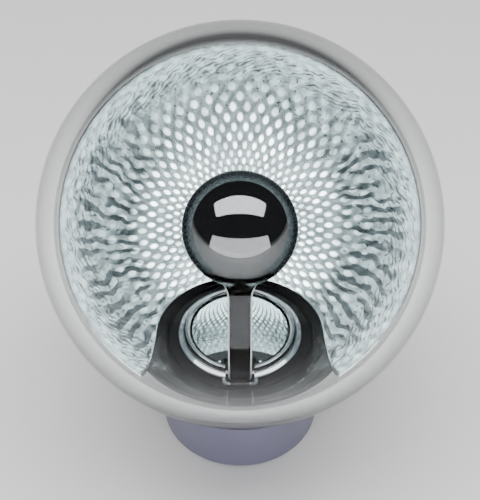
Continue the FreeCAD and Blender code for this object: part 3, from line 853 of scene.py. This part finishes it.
def cell_tree():
    """Geometry Nodes: diamond cells in staggered rows, laid on the inside of a sphere.

    Columns are equal angles round the axis and rows are equal steps of log(tan(half the polar angle)), so
    every cell keeps its shape and grows with its distance from the pole.
    """
    tree_data, tree, given, out = new_group(
        "reflector_cells", "GeometryNodeTree",
        [("Columns", "NodeSocketInt", 52), ("Rows", "NodeSocketInt", 27),
         ("Row Step", "NodeSocketFloat", 1.0), ("Start", "NodeSocketFloat", -2.75),
         ("Radius", "NodeSocketFloat", 0.067), ("Bulge", "NodeSocketFloat", 0.13),
         ("Seed", "NodeSocketInt", 7),
         ("Turn", "NodeSocketRotation", None), ("Centre", "NodeSocketVector", None),
         ("Rim", "NodeSocketFloat", 0.006), ("Notch", "NodeSocketFloat", 0.035),
         ("Notch Back", "NodeSocketFloat", 0.0034), ("Flare", "NodeSocketFloat", 0.06),
         ("Material", "NodeSocketMaterial", None)],
        [("Geometry", "NodeSocketGeometry")])
    add = tree.add

    def split(vector):
        return add("ShaderNodeSeparateXYZ", {0: vector}).outputs

    def joined(x, y, z):
        return add("ShaderNodeCombineXYZ", {0: x, 1: y, 2: z}).outputs[0]

    def stored(geometry, name, value, domain="POINT"):
        node = add("GeometryNodeStoreNamedAttribute", {"Geometry": geometry, "Name": name},
                     data_type="FLOAT", domain=domain)
        tree.put(next(s for s in node.inputs if s.name == "Value" and s.enabled), value)
        return node.outputs[0]

    # One cell, flat: p and q run from -1 to 1 along the sides of a diamond
    sheet = add("GeometryNodeMeshGrid", {"Size X": 2.0, "Size Y": 2.0, "Vertices X": 7, "Vertices Y": 7})
    p, q, _ = split(add("GeometryNodeInputPosition").outputs[0])
    fall_p = tree.maths("SUBTRACT", 1.0, tree.maths("MULTIPLY", p, p))
    fall_q = tree.maths("SUBTRACT", 1.0, tree.maths("MULTIPLY", q, q))
    crown = tree.maths("MULTIPLY", fall_p, fall_q)
    cell = stored(sheet.outputs[0], "cell_crown", crown)
    across = tree.maths("MULTIPLY", tree.maths("ADD", p, q), 0.25)
    half_step = tree.maths("MULTIPLY", given["Row Step"], 0.5)
    along = tree.maths("MULTIPLY", tree.maths("SUBTRACT", q, p), half_step)
    cell = add("GeometryNodeSetPosition", {"Geometry": cell, "Position": joined(across, along, crown)})

    # Places: a grid whose odd rows move on by half a cell
    last_column = tree.maths("SUBTRACT", given["Columns"], 1.0)
    height = tree.maths("MULTIPLY", tree.maths("SUBTRACT", given["Rows"], 1.0), given["Row Step"])
    lattice = add("GeometryNodeMeshGrid", {
        "Size X": last_column, "Size Y": height, "Vertices X": given["Columns"], "Vertices Y": given["Rows"]})
    x, y, _ = split(add("GeometryNodeInputPosition").outputs[0])
    up = tree.maths("ADD", y, tree.maths("MULTIPLY", height, 0.5))
    row = tree.maths("ROUND", tree.maths("DIVIDE", up, given["Row Step"]))
    odd = tree.maths("MULTIPLY", tree.maths("MODULO", row, 2.0), 0.5)
    placed = add("GeometryNodeSetPosition", {
        "Geometry": lattice.outputs[0], "Position": joined(tree.maths("ADD", x, odd), up, 0.0)})
    copies = add("GeometryNodeInstanceOnPoints", {
        "Points": placed.outputs[0], "Instance": cell.outputs[0]}).outputs[0]
    chance = add("FunctionNodeRandomValue", {"Seed": given["Seed"]}, data_type="FLOAT")
    roll = next(s for s in chance.outputs if s.enabled)
    copies = stored(copies, "cell_random", roll, "INSTANCE")
    flat = add("GeometryNodeRealizeInstances", {0: copies}).outputs[0]

    # From the flat lattice to the sphere
    u, v, lift = split(add("GeometryNodeInputPosition").outputs[0])
    unit = tree.maths("DIVIDE", 2 * math.pi, given["Columns"])
    around = tree.maths("MULTIPLY", u, unit)
    stretch = tree.maths("ADD", tree.maths("MULTIPLY", v, unit), given["Start"])
    polar = tree.maths("MULTIPLY", tree.maths("ARCTANGENT", tree.maths("EXPONENT", stretch)), 2.0)
    sine = tree.maths("SINE", polar)
    size = tree.maths("MULTIPLY", tree.maths("MULTIPLY", sine, unit), given["Radius"])
    rise = tree.maths("MULTIPLY", tree.maths("MULTIPLY", lift, size), given["Bulge"])
    radius = tree.maths("SUBTRACT", given["Radius"], rise)
    flat_r = tree.maths("MULTIPLY", radius, sine)
    spot = joined(
        tree.maths("MULTIPLY", flat_r, tree.maths("COSINE", around)),
        tree.maths("MULTIPLY", flat_r, tree.maths("SINE", around)),
        tree.maths("MULTIPLY", radius, tree.maths("COSINE", polar)))
    reached = stored(flat, "cell_reach", tree.maths("DIVIDE", polar, math.pi / 2))
    domed = add("GeometryNodeSetPosition", {"Geometry": reached, "Position": spot}).outputs[0]
    turned = add("GeometryNodeTransform", {
        "Geometry": domed, "Rotation": given["Turn"], "Translation": given["Centre"]}).outputs[0]
    welded = add("GeometryNodeMergeByDistance", {"Geometry": turned, "Distance": 1e-6}).outputs[0]

    # Cells beyond the rim and in the notch go
    here = add("GeometryNodeInputPosition").outputs[0]
    offset = add("ShaderNodeVectorMath", {0: here, 1: given["Centre"]}, operation="SUBTRACT").outputs[0]
    forward = add("ShaderNodeVectorMath", {0: offset, 1: tuple(INWARD)}, operation="DOT_PRODUCT")
    past_rim = tree.maths("LESS_THAN", forward.outputs["Value"], tree.maths("MULTIPLY", given["Rim"], -1.0))
    hx, hy, _ = split(here)
    _, _, level = split(offset)
    from_notch = tree.maths("ADD", hy, given["Notch Back"])
    ahead = tree.maths("MINIMUM", from_notch, 0.0)
    behind = tree.maths("MAXIMUM", from_notch, 0.0)
    width = tree.maths("SUBTRACT", given["Notch"], tree.maths("MULTIPLY", ahead, given["Flare"]))
    off = tree.maths("SQRT", tree.maths("ADD", tree.maths("MULTIPLY", hx, hx),
                                        tree.maths("MULTIPLY", behind, behind)))
    in_notch = tree.maths("MULTIPLY", tree.maths("LESS_THAN", off, width),
                          tree.maths("LESS_THAN", level, 0.0))
    drop = tree.maths("MAXIMUM", past_rim, in_notch)
    kept = add("GeometryNodeDeleteGeometry", {"Geometry": welded, "Selection": drop}, domain="FACE")
    shaded = add("GeometryNodeSetMaterial", {"Geometry": kept.outputs[0], "Material": given["Material"]})
    tree.put(out["Geometry"], shaded.outputs[0])
    return tree_data


def make_reflector(settings):
    """The silver lining, and the cells on its inner face."""
    lining_inside_r = 67.1 * MM
    holder = mesh_object("reflector_cells", bmesh.new())
    modifier = holder.modifiers.new("cells", "NODES")
    modifier.node_group = cell_tree()
    turn = INWARD.to_track_quat("Z", "X").to_euler()
    values = {
        "Columns": settings.columns, "Rows": settings.rows, "Row Step": settings.row_step,
        "Start": -2.75, "Radius": lining_inside_r - 0.05 * MM, "Bulge": settings.bulge,
        "Seed": settings.seed,
        "Turn": turn, "Centre": GLOBE_C, "Rim": 6.6 * MM, "Notch": 34.9 * MM, "Notch Back": 3.4 * MM,
        "Flare": 0.06, "Material": cell_painted_light(settings)}
    for item in modifier.node_group.interface.items_tree:
        if item.in_out == "INPUT" and item.name in values:
            modifier[item.identifier] = values[item.name]
    bpy.context.view_layer.update()
    evaluated = holder.evaluated_get(bpy.context.evaluated_depsgraph_get())
    cells = bpy.data.meshes.new_from_object(evaluated)
    if not cells.polygons:
        raise RuntimeError("the reflector's cells came out empty")
    holder.modifiers.clear()
    holder.data = cells
    if sum(face.normal.dot(GLOBE_C - face.center) for face in cells.polygons) < 0:
        cells.flip_normals()
    cells.shade_smooth()
    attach(holder, "globe")
    dress("reflector_lining", lining_silver(settings))


# CAD nodes that keep their shape ------------------------------------------------------------------

def dress(node, material):
    obj = NODES[node]
    obj.data.materials.clear()
    obj.data.materials.append(material)


def dress_nodes():
    """Finishes for the nodes that stay as the CAD has them."""
    brushed = finish("brushed_plate", (0.55, 0.56, 0.58), 0.3, metallic=1.0, bump=0.12, grain=1400.0)
    screw = finish("screw_steel", (0.45, 0.45, 0.46), 0.25, metallic=1.0, bump=0.05)
    iron = finish("cast_iron", (0.09, 0.09, 0.095), 0.6, metallic=0.8, bump=0.5, grain=1200.0)
    bronze = finish("turned_bronze", (0.60, 0.40, 0.18), 0.28, metallic=1.0, bump=0.08)
    rubber = finish("soft_rubber", (0.018, 0.018, 0.018), 0.75, bump=0.25, grain=1800.0)
    board = finish("board_laminate", (0.02, 0.11, 0.055), 0.4, bump=0.15, grain=1500.0)
    chip = finish("chip_black", (0.02, 0.02, 0.022), 0.45, bump=0.15)
    wrap = finish("battery_wrap", (0.09, 0.12, 0.21), 0.35, bump=0.08)
    white = finish("lamp_white", (0.85, 0.88, 0.87), 0.35, bump=0.05)
    groups = {
        brushed: ("base_plate", "swivel_spigot", "heat_spreader"),
        screw: ("base_screws", "ballast_bolt", "board_screws", "spigot_screws", "deck_screws",
                "retaining_ring", "hinge_pin", "detector_can"),
        iron: ("ballast_weight",),
        bronze: ("board_standoffs", "swivel_bush"),
        rubber: ("foot_ring", "globe_gasket", "lens_seal"),
        board: ("control_board", "detector_board", "lamp_board"),
        chip: ("board_components", "power_socket", "tact_switch"),
        wrap: ("battery_pack",),
        white: ("swivel_washer", "reference_lamps", "lamp_emitter"),
        bezel_chrome(): ("lens_retainer",),
        clear_glass("lamp_glass", (0.95, 0.98, 0.98), 0.02): ("lamp_lens",),
    }
    for material, nodes in groups.items():
        for node in nodes:
            dress(node, material)


# Stage --------------------------------------------------------------------------------------------

def area_light(name, place, target, width, height, power):
    data = bpy.data.lights.new(name, "AREA")
    data.shape = "RECTANGLE"
    data.size = width
    data.size_y = height
    data.energy = power
    light = bpy.data.objects.new(name, data)
    light.location = place
    light.rotation_euler = (Vector(target) - Vector(place)).to_track_quat("-Z", "Y").to_euler()
    bpy.context.scene.collection.objects.link(light)


def make_stage(settings):
    """Pale floor, overhead and front soft boxes, and the camera."""
    shape = bmesh.new()
    bmesh.ops.create_grid(shape, x_segments=2, y_segments=2, size=3.0)
    floor = mesh_object("floor", shape)
    floor.data.materials.append(finish("floor_paper", settings.floor, 0.7, drift=0.03, bump=0.02))
    world = bpy.data.worlds.new("studio")
    world.use_nodes = True
    background = world.node_tree.nodes["Background"]
    background.inputs["Color"].default_value = (0.80, 0.82, 0.85, 1)
    background.inputs["Strength"].default_value = 0.10
    bpy.context.scene.world = world
    area_light("overhead_box", (0, 0, 1.05), (0, 0, 0), width=1.9, height=0.64, power=27.0)
    area_light("front_box", (0, -0.42, 0.155), (0, 0, 0.155), width=1.2, height=0.29, power=4.6)
    camera = bpy.data.cameras.new("camera")
    camera.sensor_fit = "VERTICAL"
    camera.sensor_height = 36.0
    camera.lens = settings.lens
    holder = bpy.data.objects.new("camera", camera)
    away = Vector((0, -math.cos(settings.elevation), math.sin(settings.elevation)))
    holder.location = GLOBE_C + away * settings.distance
    holder.rotation_euler = (math.pi / 2 - settings.elevation - settings.dip, 0, 0)
    bpy.context.scene.collection.objects.link(holder)
    bpy.context.scene.camera = holder


# Operators ----------------------------------------------------------------------------------------

class RADIOMETER_OT_globe(bpy.types.Operator):
    """Blow the clear globe"""
    bl_idname = "radiometer.globe"
    bl_label = "Globe"

    def execute(self, context):
        make_globe()
        return {"FINISHED"}


class RADIOMETER_OT_reflector(bpy.types.Operator):
    """Lay the reflector's cells on its lining"""
    bl_idname = "radiometer.reflector"
    bl_label = "Reflector"

    def execute(self, context):
        make_reflector(context.scene.radiometer_reflector)
        return {"FINISHED"}


class RADIOMETER_OT_lever(bpy.types.Operator):
    """Make the polished ball and stem"""
    bl_idname = "radiometer.lever"
    bl_label = "Ball lever"

    def execute(self, context):
        make_lever(context.scene.radiometer_body)
        return {"FINISHED"}


class RADIOMETER_OT_head(bpy.types.Operator):
    """Make the bezel, window, deck and cup"""
    bl_idname = "radiometer.head"
    bl_label = "Head"

    def execute(self, context):
        settings = context.scene.radiometer_body
        make_bezel(settings)
        make_window(settings)
        make_deck(settings)
        make_cup(settings)
        return {"FINISHED"}


class RADIOMETER_OT_pedestal(bpy.types.Operator):
    """Make the pedestal's shell and its button"""
    bl_idname = "radiometer.pedestal"
    bl_label = "Pedestal"

    def execute(self, context):
        make_pedestal(context.scene.radiometer_body)
        make_button()
        return {"FINISHED"}


class RADIOMETER_OT_inner_parts(bpy.types.Operator):
    """Give the inner parts their finishes"""
    bl_idname = "radiometer.inner_parts"
    bl_label = "Inner parts"

    def execute(self, context):
        dress_nodes()
        return {"FINISHED"}


class RADIOMETER_OT_stage(bpy.types.Operator):
    """Set the floor, the light and the camera"""
    bl_idname = "radiometer.stage"
    bl_label = "Stage"

    def execute(self, context):
        make_stage(context.scene.radiometer_stage)
        return {"FINISHED"}


OPERATORS = (
    RADIOMETER_OT_stage, RADIOMETER_OT_inner_parts, RADIOMETER_OT_pedestal, RADIOMETER_OT_head,
    RADIOMETER_OT_lever, RADIOMETER_OT_reflector, RADIOMETER_OT_globe)
SETTINGS = (
    ("radiometer_reflector", ReflectorSettings), ("radiometer_body", BodySettings),
    ("radiometer_stage", StageSettings))


class RADIOMETER_PT_panel(bpy.types.Panel):
    """Lists the pieces and their settings"""
    bl_idname = "RADIOMETER_PT_panel"
    bl_label = "Globe radiometer"
    bl_space_type = "VIEW_3D"
    bl_region_type = "UI"
    bl_category = "Radiometer"

    def draw(self, context):
        for name, kind in SETTINGS:
            box = self.layout.box()
            for key in kind.__annotations__:
                box.prop(getattr(context.scene, name), key)
        for operator in OPERATORS:
            self.layout.operator(operator.bl_idname)


def register():
    for name, kind in SETTINGS:
        bpy.utils.register_class(kind)
        setattr(bpy.types.Scene, name, PointerProperty(type=kind))
    for kind in OPERATORS + (RADIOMETER_PT_panel,):
        bpy.utils.register_class(kind)


def unregister():
    for kind in (RADIOMETER_PT_panel,) + OPERATORS[::-1]:
        bpy.utils.unregister_class(kind)
    for name, kind in SETTINGS[::-1]:
        delattr(bpy.types.Scene, name)
        bpy.utils.unregister_class(kind)


def main():
    register()
    for operator in OPERATORS:
        group, name = operator.bl_idname.split(".")
        getattr(getattr(bpy.ops, group), name)()


if __name__ == "__main__":
    main()
